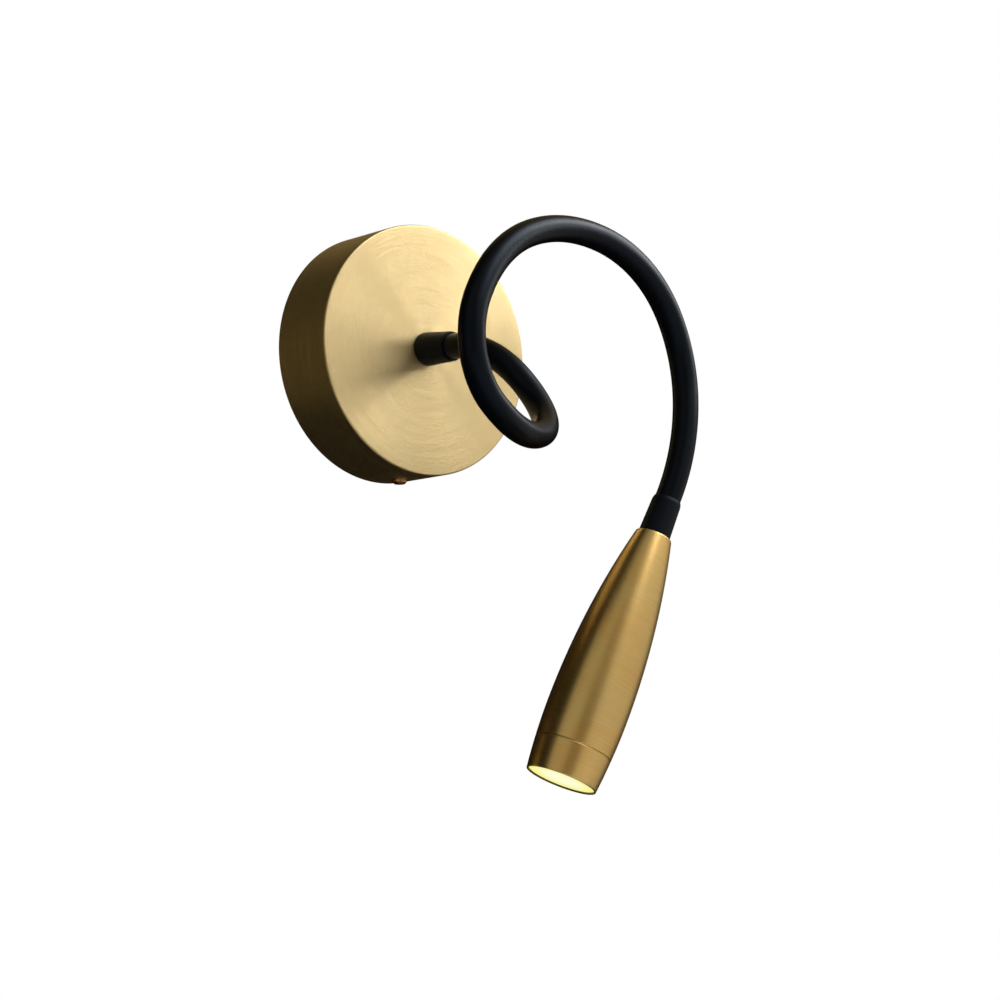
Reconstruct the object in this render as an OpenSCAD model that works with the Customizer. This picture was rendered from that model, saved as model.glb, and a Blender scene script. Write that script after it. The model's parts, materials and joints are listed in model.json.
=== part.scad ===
// Adjustable wall lamp: a round canopy, a flexible hose set in one loop, and a slim spot head.
// Millimetres. The wall is the plane y = 0 and the lamp stands out of it along -Y, with +Z up.
// The origin is the centre of the canopy on the wall.

/* [Canopy] */
// Outer diameter of the canopy
canopy_d = 100; // [98:1:120]
// Depth of the canopy, from the wall to its face
canopy_h = 30; // [29:0.5:40]
// Thickness of the canopy's brass
canopy_wall = 1.5; // [1.2:0.1:1.8]
// Radius of the eased edge round the face
canopy_edge_r = 0.9; // [0.4:0.1:1.1]

/* [Wall bracket] */
// Width of the steel strap
strap_w = 18; // [16:1:20]
// Thickness of the steel strap
strap_t = 2; // [1.5:0.1:2.5]
// Height of the two ears, from the wall
ear_h = 18; // [17:0.5:20]
// Clearance from an ear to the inside of the canopy
ear_gap = 0.5; // [0.3:0.1:0.8]
// Distance between the two wall slots
slot_spacing = 60; // [58:1:62]
// End to end length of a wall slot
slot_len = 10; // [8:0.5:11]
// Width of a wall slot
slot_w = 4.5; // [4:0.1:5]
// Diameter of the hole for the supply cable
cable_hole_d = 13; // [10:0.5:13.5]

/* [Canopy screws] */
// Thread diameter of the screws that hold the canopy on the bracket
canopy_screw_d = 3; // [2.5:0.1:3.2]
// Diameter of their heads
canopy_screw_head_d = 5.5; // [5:0.1:6]
// Height of their heads
canopy_screw_head_h = 1.7; // [1.2:0.1:2.2]
// Distance of the screws from the wall
canopy_screw_y = 13; // [12:0.5:14]

/* [Driver and terminals] */
// Width of the driver, across the canopy
driver_w = 25; // [22:0.5:26]
// Length of the driver, up and down
driver_l = 44; // [42:0.5:45]
// Thickness of the driver
driver_t = 22; // [21:0.25:22.5]
// Thickness of the tape that holds the driver on the canopy
tape_t = 1; // [0.8:0.1:1.2]
// Clear space from the centre of the canopy to the driver
driver_x = 15; // [14.5:0.25:16]
// Width of the terminal block
terminal_w = 13; // [12:0.5:14]
// Length of the terminal block, along its two poles
terminal_l = 16; // [15:0.25:16.5]
// Height of the terminal block
terminal_h = 10; // [9:0.5:10.5]
// Distance between its two poles
terminal_pitch = 8; // [7:0.25:8.5]
// Diameter of a wire entry in the block
terminal_entry_d = 3.2; // [2.6:0.1:3.4]
// Diameter of the driver's input leads
lead_d = 1.8; // [1.4:0.1:2]

/* [Hose fitting in the canopy] */
// Outer diameter of the threaded nipple
nipple_d = 9.9; // [9:0.1:10]
// Bore of the nipple
nipple_bore_d = 5.2; // [4.6:0.1:6]
// Reach of the nipple behind the canopy's face
nipple_reach = 8; // [7:0.25:8.5]
// Length of the nipple's socket, over the end of the hose
socket_len = 6; // [5:0.25:7]
// Wall of that socket
socket_wall = 0.6; // [0.5:0.05:0.7]
// Width of the hexagon nut across its flats
nut_af = 14; // [13:0.25:15]
// Thickness of the nut
nut_t = 3; // [2.5:0.25:3.5]
// Diameter of the toothed lock washer
washer_d = 17; // [16:0.25:18]
// Thickness of the toothed lock washer
washer_t = 0.8; // [0.6:0.1:1]

/* [Boot and collar] */
// Length of the rubber boot at the canopy
boot_len = 16.3; // [14:0.1:16.4]
// Diameter of the boot at the canopy
boot_root_d = 13.4; // [13.3:0.1:15]
// Diameter of the boot at its tip
boot_tip_d = 11.7; // [11.2:0.1:12.4]
// Length of the rubber collar at the head
collar_len = 15.3; // [13:0.1:15.4]
// Diameter of the collar where the hose enters
collar_tip_d = 11.4; // [11:0.1:11.8]
// Diameter of the collar at the head
collar_root_d = 12.4; // [12:0.1:13]

/* [Hose] */
// Outer diameter of the hose
hose_d = 10; // [9.8:0.05:10.2]
// Wall of its rubber sleeve
sleeve_wall = 1; // [0.8:0.1:1.2]
// Wall of its wound steel core
core_wall = 1.7; // [1.5:0.1:1.8]
// Diameter of the cable inside
cable_d = 3.6; // [3:0.1:3.8]
// Length of each length of hose between two flex points
link_len = 41; // [38:0.5:44]
// Distance from the canopy's face to the first flex point
lead_len = 18; // [18:0.25:20]
// Distance from the last flex point to the head
tail_len = 17; // [17:0.25:19]
// Angle by which the hose droops where it leaves the canopy
droop = 4; // [0:0.5:4.5]
// Running gap at each flex point
flex_gap = 0.2; // [0.18:0.01:0.3]

/* [Head] */
// Length of the head
head_len = 101; // [98:0.5:106]
// Largest diameter of the head
head_d = 30.8; // [30:0.1:32]
// Diameter of the head's neck
neck_d = 14.2; // [13.4:0.1:15]
// Diameter of the head at its mouth
mouth_d = 27.4; // [26.8:0.1:28]
// Distance from the neck to the widest place
widest_z = 72; // [68:0.5:76]
// Wall of the head's shell
head_wall = 1.8; // [1.5:0.1:2]
// Length of the bezel that shows
bezel_len = 13; // [12:0.25:14]
// Length of the bezel's thread, inside the shell
spigot_len = 8; // [7:0.25:9]
// Width of the rim round the lens
rim_w = 0.6; // [0.5:0.05:0.7]
// Depth of the solid neck that holds the head's nipple
neck_len = 10; // [9:0.25:11]

/* [Light engine] */
// Thickness of the lens
lens_t = 2.3; // [2:0.1:2.6]
// Depth of the lens behind the rim
lens_recess = 0.6; // [0.4:0.1:0.8]
// Thickness of the lens gasket
gasket_t = 0.5; // [0.4:0.1:0.7]
// Thickness of the light board
board_t = 1.6; // [1.2:0.1:2]
// Width of the light chip
chip_w = 7; // [6:0.25:7.5]
// Length of the finned heat sink
sink_len = 30; // [26:1:32]
// Number of slots between its fins
sink_slots = 12; // [8:1:14]
// Diameter of the thin leads in the head
head_lead_d = 1.4; // [1:0.1:1.5]
// Length of the thin leads between the cable and the heat sink
lead_run = 10; // [8:0.5:12]

/* [Hidden] */
// Small seats between rigid pieces, and the running fit of a thread
seat = 0.05;
fit = 0.1;

// Each length of hose is one arc. These are its bend, and the side that it bends to, in degrees
// round the hose from its upper side. Two neighbours always meet in one line.
hose_bend = [50, 73, 50.5, 82, 41.5, 33, 32, 56, 22];
hose_side = [-161.5, 82, 58, 36.5, 31.5, 22, 48.5, 21, 74.5];
link_count = len(hose_bend);

canopy_r = canopy_d / 2;
canopy_in_r = canopy_r - canopy_wall;
face_in = canopy_h - canopy_wall;
hose_r = hose_d / 2;
core_r = hose_r - sleeve_wall - seat;
core_bore_r = core_r - core_wall;
sleeve_bore_r = hose_r - sleeve_wall;
cable_r = cable_d / 2;
nipple_r = nipple_d / 2;
socket_in_r = hose_r + 0.3;
socket_out_r = socket_in_r + socket_wall;
socket_floor = 0.6;
// The droop turns about the middle of the socket
pivot_y = canopy_h + socket_len / 2;
hose_end = socket_len / 2 - socket_floor - 0.3;
// Step at the root of a ball end
ball_step = 0.1;

// Brass, steel, rubber and the rest
brass = [0.76, 0.62, 0.36];
steel = [0.72, 0.73, 0.75];
zinc = [0.80, 0.80, 0.78];
rubber = [0.06, 0.06, 0.07];
silicone = [0.04, 0.045, 0.05];
white_plastic = [0.90, 0.90, 0.88];
copper_red = [0.66, 0.36, 0.18];
aluminium = [0.82, 0.83, 0.85];
glow = [1.0, 0.97, 0.80];

// Rigid transforms, as matrices
function shift_z(d) = [[1, 0, 0, 0], [0, 1, 0, 0], [0, 0, 1, d], [0, 0, 0, 1]];
function shift_x(d) = [[1, 0, 0, d], [0, 1, 0, 0], [0, 0, 1, 0], [0, 0, 0, 1]];
function turn_y(a) = [[cos(a), 0, sin(a), 0], [0, 1, 0, 0], [-sin(a), 0, cos(a), 0], [0, 0, 0, 1]];
function turn_z(a) = [[cos(a), -sin(a), 0, 0], [sin(a), cos(a), 0, 0], [0, 0, 1, 0], [0, 0, 0, 1]];

// A hose frame has z along the hose, and x on its upper side where the hose leaves the canopy
hose_out = [[0, -1, 0, 0], [0, 0, -1, -pivot_y], [1, 0, 0, 0], [0, 0, 0, 1]];
droop_frame = hose_out * turn_y(-droop);

function bend_radius(k) = link_len * 180 / (PI * hose_bend[k]);
// The step over one arc: out to its centre, turn, and back out to the hose
function arc_step(k) =
    turn_z(hose_side[k]) * shift_x(bend_radius(k)) * turn_y(hose_bend[k])
    * shift_x(-bend_radius(k)) * turn_z(-hose_side[k]);
// Frame of flex point k, counted from the canopy
function flex_frame(k) =
    k == 0 ? droop_frame * shift_z(lead_len - socket_len / 2) : flex_frame(k - 1) * arc_step(k - 1);
head_frame = flex_frame(link_count) * shift_z(tail_len);

// Head outline: one long arc up to the widest place and a shorter one down to the mouth
rear_drop = (head_d - neck_d) / 2;
rear_arc_r = (widest_z * widest_z + rear_drop * rear_drop) / (2 * rear_drop);
front_len = head_len - widest_z;
front_drop = (head_d - mouth_d) / 2;
front_arc_r = (front_len * front_len + front_drop * front_drop) / (2 * front_drop);
seam_z = head_len - bezel_len;
thread_z = seam_z - spigot_len;
function rear_r(z) = head_d / 2 - rear_arc_r + sqrt(pow(rear_arc_r, 2) - pow(widest_z - z, 2));
function front_r(z) = head_d / 2 - front_arc_r + sqrt(pow(front_arc_r, 2) - pow(z - widest_z, 2));
thread_r = front_r(seam_z) - head_wall;
lens_seat_r = mouth_d / 2 - rim_w;
// The bezel's bore leaves a wall under its thread and a ledge under the lens
spigot_wall = 1.2;
lens_ledge = 1.2;
bezel_bore_r = min(thread_r - spigot_wall, lens_seat_r - lens_ledge);
lens_z = head_len - lens_recess - lens_t;
gasket_z = lens_z - seat - gasket_t;
board_r = bezel_bore_r - 0.4;
board_z = thread_z + 2;
sink_top = board_z - seat;
sink_shoulder = thread_z - 0.2;
sink_rear = sink_shoulder - sink_len;
sink_r = min(rear_r(sink_rear) - head_wall - 0.15, thread_r - 0.3);
sink_bore_r = 3;
chip_z = board_z + board_t + seat;
board_screw_x = board_r - 2.6;
board_screw_r = 1.1;
board_screw_head_d = 3.6;
board_screw_head_h = 1.3;
board_screw_len = 6;
cable_end_z = sink_rear - lead_run;
head_nipple_r = 4.9;
head_socket_len = 8;
head_socket_r = hose_r + seat;
head_socket_out_r = head_socket_r + 0.35;

// Turns a part drawn with z out of the wall and y up into place
module on_wall() {
    rotate([90, 0, 0]) children();
}

module ring(r_out, r_in, h, sides = 96) {
    difference() {
        cylinder(r = r_out, h = h, $fn = sides);
        translate([0, 0, -1]) cylinder(r = r_in, h = h + 2, $fn = sides);
    }
}

// Canopy

module canopy_profile() {
    difference() {
        union() {
            square([canopy_r, canopy_h - canopy_edge_r]);
            square([canopy_r - canopy_edge_r, canopy_h]);
            translate([canopy_r - canopy_edge_r, canopy_h - canopy_edge_r])
                circle(r = canopy_edge_r, $fn = 48);
        }
        translate([-1, -1]) square([canopy_in_r + 1, face_in + 1]);
    }
}

module canopy_shell() {
    color(brass) on_wall() difference() {
        rotate_extrude($fn = 180) canopy_profile();
        cylinder(r = nipple_r + fit, h = canopy_h + 1, $fn = 64);
        for (up = [0, 180]) rotate([0, 0, up])
            translate([0, canopy_in_r - canopy_wall, canopy_screw_y]) rotate([-90, 0, 0])
                cylinder(r = canopy_screw_r + 0.25, h = 3 * canopy_wall, $fn = 48);
    }
}

// Face of an ear, far enough in for its corners to clear the round canopy
ear_y = sqrt(pow(canopy_in_r, 2) - pow(strap_w / 2, 2)) - ear_gap;
strap_bend_r = strap_t + 1;

// Half of the folded strap, seen from its side: a flat foot, a bend and an ear
module strap_side() {
    square([ear_y - strap_bend_r, strap_t]);
    translate([ear_y - strap_t, strap_bend_r]) square([strap_t, ear_h - strap_bend_r]);
    translate([ear_y - strap_bend_r, strap_bend_r]) intersection() {
        difference() {
            circle(r = strap_bend_r, $fn = 64);
            circle(r = strap_bend_r - strap_t, $fn = 64);
        }
        translate([0, -strap_bend_r]) square([strap_bend_r, strap_bend_r]);
    }
}

module slot_cut(y) {
    reach = (slot_len - slot_w) / 2;
    translate([0, y, -1]) {
        for (end = [-reach, reach]) translate([0, end, 0])
            cylinder(r = slot_w / 2, h = strap_t + 2, $fn = 48);
        translate([-slot_w / 2, -reach, 0]) cube([slot_w, 2 * reach, strap_t + 2]);
    }
}

earth_y = 16;
earth_screw_r = 2;
earth_screw_head_d = 7.5;
earth_screw_head_h = 2.4;
terminal_screw_r = 1.25;
canopy_screw_r = canopy_screw_d / 2;
terminal_y = -(cable_hole_d / 2 + 1 + terminal_l / 2);

module wall_bracket() {
    color(zinc) on_wall() difference() {
        for (up = [0, 180]) rotate([0, 0, up]) translate([-strap_w / 2, 0, 0])
            rotate([90, 0, 90]) linear_extrude(strap_w) strap_side();
        for (side = [-1, 1]) slot_cut(side * slot_spacing / 2);
        translate([0, 0, -1]) cylinder(r = cable_hole_d / 2, h = strap_t + 2, $fn = 64);
        translate([0, earth_y, -1]) cylinder(r = earth_screw_r + seat, h = strap_t + 2, $fn = 48);
        translate([0, terminal_y, -1]) cylinder(r = terminal_screw_r + seat, h = strap_t + 2, $fn = 48);
        for (up = [0, 180]) rotate([0, 0, up])
            translate([0, ear_y - strap_t - 1, canopy_screw_y]) rotate([-90, 0, 0])
                cylinder(r = canopy_screw_r + seat, h = strap_t + 2, $fn = 48);
    }
}

// Slotted screw with a flat seat at z = 0, its head above and its thread below
module slotted_screw(d, head_d, head_h, length) {
    difference() {
        union() {
            cylinder(r = head_d / 2, h = head_h * 0.6, $fn = 48);
            translate([0, 0, head_h * 0.6])
                cylinder(r1 = head_d / 2, r2 = head_d * 0.38, h = head_h * 0.4, $fn = 48);
            translate([0, 0, -length]) cylinder(r = d / 2, h = length + head_h / 4, $fn = 48);
        }
        translate([-head_d, -0.4, head_h * 0.45]) cube([2 * head_d, 0.8, head_h]);
    }
}

module canopy_screws() {
    reach = canopy_r - ear_y + strap_t + 0.5;
    color(copper_red) on_wall() for (up = [0, 180]) rotate([0, 0, up])
        translate([0, canopy_r + seat, canopy_screw_y]) rotate([-90, 0, 0])
            slotted_screw(canopy_screw_d, canopy_screw_head_d, canopy_screw_head_h, reach);
}

earth_washer_t = 0.8;
earth_washer_r = 4.6;

module earth_washer() {
    color(steel) on_wall() translate([0, earth_y, strap_t + seat]) difference() {
        ring(earth_washer_r, earth_screw_r + fit, earth_washer_t, 48);
        for (k = [0:11]) rotate([0, 0, 30 * k]) translate([earth_washer_r + 0.1, 0, -1])
            cylinder(r = 0.5, h = 3, $fn = 24);
    }
}

module earth_screw() {
    color(copper_red) on_wall()
        translate([0, earth_y, strap_t + earth_washer_t + 2 * seat])
            slotted_screw(2 * earth_screw_r, earth_screw_head_d, earth_screw_head_h,
                strap_t + earth_washer_t - 4 * seat);
}

terminal_well = 2.4;
terminal_entry_depth = 5;

module terminal_block() {
    color(white_plastic) on_wall() translate([0, terminal_y, strap_t + seat]) difference() {
        translate([-terminal_w / 2, -terminal_l / 2, 0]) cube([terminal_w, terminal_l, terminal_h]);
        for (pole = [-1, 1]) translate([0, pole * terminal_pitch / 2, 0]) {
            for (side = [-1, 1]) {
                translate([side * (terminal_w / 2 - terminal_entry_depth), 0, terminal_h / 2])
                    rotate([0, 90 * side, 0])
                        cylinder(r = terminal_entry_d / 2, h = terminal_entry_depth + 1, $fn = 32);
                translate([side * (terminal_w / 2 - 3), 0, terminal_h - 3])
                    cylinder(r = 1.6, h = 4, $fn = 32);
            }
        }
        translate([0, 0, -1]) cylinder(r = terminal_screw_r + fit, h = terminal_h + 2, $fn = 32);
        translate([0, 0, terminal_h - terminal_well]) cylinder(r = 2.3, h = 3, $fn = 32);
    }
}

module terminal_screw() {
    floor_z = strap_t + terminal_h - terminal_well;
    color(steel) on_wall() translate([0, terminal_y, floor_z + 2 * seat])
        slotted_screw(2 * terminal_screw_r, 4.4, 1.8, floor_z - 4 * seat);
}

driver_z = face_in - tape_t - 2 * seat - driver_t;
lead_z = strap_t + seat + terminal_h / 2;
cable_bend_r = 8;
nipple_tail = face_in - nipple_reach;
cable_turn_z = nipple_tail - 4;
cable_in_z = cable_turn_z - cable_bend_r;

module rounded_box(w, l, h, r) {
    for (x = [r, w - r]) for (y = [r, l - r]) translate([x, y, 0])
        cylinder(r = r, h = h, $fn = 32);
    translate([r, 0, 0]) cube([w - 2 * r, l, h]);
    translate([0, r, 0]) cube([w, l - 2 * r, h]);
}

module driver() {
    color(white_plastic) on_wall() difference() {
        translate([-driver_x - driver_w, -driver_l / 2, driver_z])
            rounded_box(driver_w, driver_l, driver_t, 2);
        translate([-driver_x - 3, 0, cable_in_z]) rotate([0, 90, 0])
            cylinder(r = cable_r + fit, h = 4, $fn = 48);
        for (pole = [-1, 1])
            translate([-driver_x - 3, terminal_y + pole * terminal_pitch / 2, lead_z])
                rotate([0, 90, 0]) cylinder(r = lead_d / 2 + fit, h = 4, $fn = 32);
    }
}

module driver_tape() {
    inset = 3;
    color(rubber) on_wall()
        translate([-driver_x - driver_w + inset, -driver_l / 2 + inset, face_in - seat - tape_t])
            cube([driver_w - 2 * inset, driver_l - 2 * inset, tape_t]);
}

module driver_leads() {
    start = -driver_x - 2.5;
    color(copper_red) on_wall() for (pole = [-1, 1])
        translate([start, terminal_y + pole * terminal_pitch / 2, lead_z]) rotate([0, 90, 0])
            cylinder(r = lead_d / 2, h = -terminal_w / 2 + 4 - start, $fn = 32);
}

// Hose fitting in the canopy

module hose_nipple() {
    color(brass) on_wall() difference() {
        union() {
            translate([0, 0, nipple_tail])
                cylinder(r = nipple_r, h = nipple_reach + canopy_wall + 0.3, $fn = 64);
            translate([0, 0, canopy_h + seat])
                cylinder(r = socket_out_r, h = socket_len - seat, $fn = 96);
        }
        translate([0, 0, nipple_tail - 1])
            cylinder(r = nipple_bore_d / 2, h = canopy_h + socket_len - nipple_tail, $fn = 64);
        translate([0, 0, canopy_h + socket_floor])
            cylinder(r = socket_in_r, h = socket_len, $fn = 96);
    }
}

module lock_washer() {
    color(steel) on_wall() translate([0, 0, face_in - seat - washer_t]) difference() {
        ring(washer_d / 2, nipple_r + fit, washer_t, 96);
        for (k = [0:17]) rotate([0, 0, 20 * k]) translate([washer_d / 2, 0, -1])
            cylinder(r = 0.8, h = 3, $fn = 24);
    }
}

module nipple_nut() {
    corner_r = nut_af / sqrt(3);
    color(brass) on_wall() translate([0, 0, face_in - 2 * seat - washer_t - nut_t]) difference() {
        intersection() {
            cylinder(r = corner_r, h = nut_t, $fn = 6);
            cylinder(r1 = nut_af / 2, r2 = nut_af / 2 + 2 * nut_t, h = nut_t, $fn = 96);
        }
        translate([0, 0, -1]) cylinder(r = nipple_r + seat, h = nut_t + 2, $fn = 64);
    }
}

module boot() {
    start = -socket_len / 2;
    tip = boot_len + start;
    color(rubber) difference() {
        multmatrix(droop_frame) rotate_extrude($fn = 96) polygon([
            [hose_r + seat, start - 1],
            [boot_root_d / 2, start - 1],
            [boot_root_d / 2, start + 1],
            [boot_tip_d / 2, tip - 0.8],
            [boot_tip_d / 2 - 0.6, tip],
            [hose_r + seat, tip]
        ]);
        on_wall() translate([0, 0, canopy_h + seat - boot_root_d])
            cylinder(r = boot_root_d, h = boot_root_d, $fn = 96);
        on_wall() translate([0, 0, canopy_h - 1])
            cylinder(r = socket_out_r + seat, h = socket_len + 1 + seat, $fn = 96);
    }
}

// Hose: each layer is cut and rounded about the same flex points

// The rounded end that a length of hose turns on, of one layer. It is rooted a little way inside
// the layer's wall.
module ball_end(r_out, r_in) {
    inner = r_in > 0 ? r_in + ball_step : 0;
    rotate_extrude($fn = 64) intersection() {
        circle(r = hose_r, $fn = 96);
        translate([inner, -ball_step * 4]) square([r_out - ball_step - inner, hose_r * 2]);
    }
}

module cup_cut() {
    sphere(r = hose_r + flex_gap, $fn = 96);
}

// One layer of length k of the hose, an exact arc
module arc_layer(k, r_out, r_in) {
    multmatrix(flex_frame(k + 1)) ball_end(r_out, r_in);
    multmatrix(flex_frame(k)) difference() {
        rotate([0, 0, hose_side[k]]) translate([bend_radius(k), 0, 0]) rotate(a = 180, v = [0, 1, 1])
            rotate_extrude(angle = hose_bend[k], $fn = 360) translate([bend_radius(k), 0])
                difference() {
                    circle(r = r_out, $fn = 64);
                    if (r_in > 0) circle(r = r_in, $fn = 64);
                }
        cup_cut();
    }
}

// One layer of the fixed end in the canopy
module root_layer(r_out, r_in) {
    length = lead_len - socket_len / 2;
    full = length + hose_end;
    multmatrix(droop_frame) {
        translate([0, 0, -hose_end]) difference() {
            cylinder(r = r_out, h = full, $fn = 64);
            if (r_in > 0) translate([0, 0, -1]) cylinder(r = r_in, h = full + 2, $fn = 64);
        }
        translate([0, 0, length]) ball_end(r_out, r_in);
    }
}

// One layer of the fixed end in the head
module tip_layer(r_out, r_in, length) {
    multmatrix(flex_frame(link_count)) difference() {
        cylinder(r = r_out, h = length, $fn = 64);
        if (r_in > 0) translate([0, 0, -1]) cylinder(r = r_in, h = length + 2, $fn = 64);
        cup_cut();
    }
}

module sleeve_link(k) {
    color(silicone) arc_layer(k - 1, hose_r, sleeve_bore_r);
}

module core_link(k) {
    color(steel) arc_layer(k - 1, core_r, core_bore_r);
}

module cable_link(k) {
    color(white_plastic) arc_layer(k - 1, cable_r, 0);
}

module sleeve_root() {
    color(silicone) root_layer(hose_r, sleeve_bore_r);
}

module core_root() {
    color(steel) root_layer(core_r, core_bore_r);
}

// The cable runs on through the nipple and turns aside into the driver
module cable_root() {
    color(white_plastic) {
        root_layer(cable_r, 0);
        on_wall() {
            translate([0, 0, cable_turn_z])
                cylinder(r = cable_r, h = canopy_h + socket_floor - cable_turn_z, $fn = 48);
            translate([-cable_bend_r, 0, cable_turn_z]) rotate([-90, 0, 0])
                rotate_extrude(angle = 90, $fn = 192) translate([cable_bend_r, 0])
                    circle(r = cable_r, $fn = 48);
            translate([-driver_x - 2.5, 0, cable_in_z]) rotate([0, 90, 0])
                cylinder(r = cable_r, h = driver_x + 2.5 - cable_bend_r, $fn = 48);
        }
    }
}

tip_stop = tail_len - socket_floor - fit;

module sleeve_tip() {
    color(silicone) tip_layer(hose_r, sleeve_bore_r, tip_stop);
}

module core_tip() {
    color(steel) tip_layer(core_r, core_bore_r, tip_stop);
}

module cable_tip() {
    color(white_plastic) tip_layer(cable_r, 0, tail_len + cable_end_z);
}

// Head: drawn along z from the neck to the mouth

module in_head() {
    multmatrix(head_frame) children();
}

module collar() {
    shoulder = 1.2;
    lip = 0.3;
    body_len = collar_len - shoulder - seat;
    color(rubber) in_head() difference() {
        translate([0, 0, -collar_len]) {
            cylinder(r1 = hose_r + lip, r2 = collar_tip_d / 2, h = shoulder, $fn = 96);
            translate([0, 0, shoulder])
                cylinder(r1 = collar_tip_d / 2, r2 = collar_root_d / 2, h = body_len, $fn = 96);
        }
        translate([0, 0, -collar_len - 1]) cylinder(r = hose_r + seat, h = collar_len + 2, $fn = 96);
        translate([0, 0, -head_socket_len - seat])
            cylinder(r = head_socket_out_r + seat, h = head_socket_len + 1, $fn = 96);
    }
}

module head_nipple() {
    color(brass) in_head() difference() {
        union() {
            translate([0, 0, -head_socket_len])
                cylinder(r = head_socket_out_r, h = head_socket_len - seat, $fn = 96);
            translate([0, 0, -socket_floor])
                cylinder(r = head_nipple_r, h = neck_len + socket_floor - 0.5, $fn = 64);
        }
        translate([0, 0, -head_socket_len - 1])
            cylinder(r = head_socket_r, h = head_socket_len + 1 - socket_floor, $fn = 96);
        translate([0, 0, -2]) cylinder(r = nipple_bore_d / 2, h = neck_len + 4, $fn = 64);
    }
}

// Half outline of the head from z0 to z1, drawn in by t
module head_outline(z0, z1, t) {
    if (z0 < widest_z) intersection() {
        translate([head_d / 2 - rear_arc_r, widest_z]) circle(r = rear_arc_r - t, $fn = 720);
        translate([0, z0]) square([head_d, min(z1, widest_z) - z0]);
    }
    if (z1 > widest_z) intersection() {
        translate([head_d / 2 - front_arc_r, widest_z]) circle(r = front_arc_r - t, $fn = 720);
        translate([0, max(z0, widest_z)]) square([head_d, z1 - max(z0, widest_z)]);
    }
}

module head_shell() {
    edge = 0.35;
    neck_edge = 0.6;
    color(brass) in_head() rotate_extrude($fn = 180) difference() {
        head_outline(0, seam_z, 0);
        head_outline(neck_len, thread_z - 0.5, head_wall);
        translate([0, thread_z - 1]) square([thread_r, spigot_len + 2]);
        translate([0, -1]) square([head_nipple_r + seat, neck_len + 2]);
        translate([front_r(seam_z), seam_z]) circle(r = edge, $fn = 4);
        translate([neck_d / 2, 0]) circle(r = neck_edge, $fn = 4);
    }
}

module bezel() {
    edge = 0.35;
    foot = seam_z + fit;
    color(brass) in_head() rotate_extrude($fn = 180) difference() {
        union() {
            head_outline(foot, head_len, 0);
            translate([0, thread_z]) square([thread_r - seat, spigot_len + 1]);
        }
        translate([0, thread_z - 1]) square([bezel_bore_r, bezel_len + spigot_len + 2]);
        translate([0, gasket_z - seat]) square([lens_seat_r, head_len]);
        translate([front_r(seam_z), foot]) circle(r = edge, $fn = 4);
    }
}

module lens_gasket() {
    color(rubber) in_head() translate([0, 0, gasket_z])
        ring(lens_seat_r - fit, bezel_bore_r + 0.2, gasket_t);
}

module lens() {
    color(glow) in_head() translate([0, 0, lens_z]) {
        cylinder(r = lens_seat_r - seat, h = lens_t - 0.3, $fn = 96);
        translate([0, 0, lens_t - 0.3])
            cylinder(r1 = lens_seat_r - seat, r2 = lens_seat_r - seat - 0.3, h = 0.3, $fn = 96);
    }
}

reflector_wall = 0.7;
reflector_foot = chip_z + 0.7;
reflector_top = gasket_z - 0.3;
reflector_foot_r = chip_w / 2 * sqrt(2) + 0.5;

module reflector() {
    top_r = bezel_bore_r - 0.15;
    color(aluminium) in_head() rotate_extrude($fn = 120) polygon([
        [reflector_foot_r, reflector_foot],
        [reflector_foot_r + reflector_wall, reflector_foot],
        [top_r - 0.8, reflector_top - 1],
        [top_r, reflector_top - 1],
        [top_r, reflector_top],
        [top_r - 0.8 - reflector_wall, reflector_top]
    ]);
}

module led_board() {
    color(white_plastic) in_head() translate([0, 0, board_z]) difference() {
        cylinder(r = board_r, h = board_t, $fn = 96);
        for (side = [-1, 1]) translate([side * board_screw_x, 0, -1])
            cylinder(r = board_screw_r + fit, h = board_t + 2, $fn = 32);
    }
}

module led_chip() {
    color(glow) in_head() translate([0, 0, chip_z]) {
        translate([-chip_w / 2, -chip_w / 2, 0]) cube([chip_w, chip_w, 0.6]);
        translate([0, 0, 0.6]) cylinder(r = chip_w / 2 - 0.6, h = 0.4, $fn = 48);
    }
}

module board_screws() {
    color(steel) in_head() for (side = [-1, 1])
        translate([side * board_screw_x, 0, board_z + board_t + seat])
            slotted_screw(2 * board_screw_r, board_screw_head_d, board_screw_head_h, board_screw_len);
}

module heat_sink() {
    slot_depth = 4;
    fin_gap = 1.6;
    color(aluminium) in_head() difference() {
        union() {
            translate([0, 0, sink_rear]) cylinder(r = sink_r, h = sink_len, $fn = 120);
            translate([0, 0, sink_shoulder - 1])
                cylinder(r = board_r, h = sink_top - sink_shoulder + 1, $fn = 120);
        }
        translate([0, 0, sink_rear - 1])
            cylinder(r = sink_bore_r, h = sink_top - sink_rear + 2, $fn = 64);
        for (k = [0:sink_slots - 1]) rotate([0, 0, (k + 0.5) * 360 / sink_slots])
            translate([sink_r - slot_depth, -fin_gap / 2, sink_rear - 1])
                cube([slot_depth + 2, fin_gap, sink_len - 3]);
        for (side = [-1, 1]) translate([side * board_screw_x, 0, sink_top - board_screw_len - 0.5])
            cylinder(r = board_screw_r + seat, h = board_screw_len + 1, $fn = 32);
    }
}

module head_leads() {
    color(copper_red) in_head() for (side = [-1, 1])
        translate([side * 0.9, 0, cable_end_z + seat])
            cylinder(r = head_lead_d / 2, h = board_z - cable_end_z - 2 * seat, $fn = 32);
}

link_numbers = [1:link_count];

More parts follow.
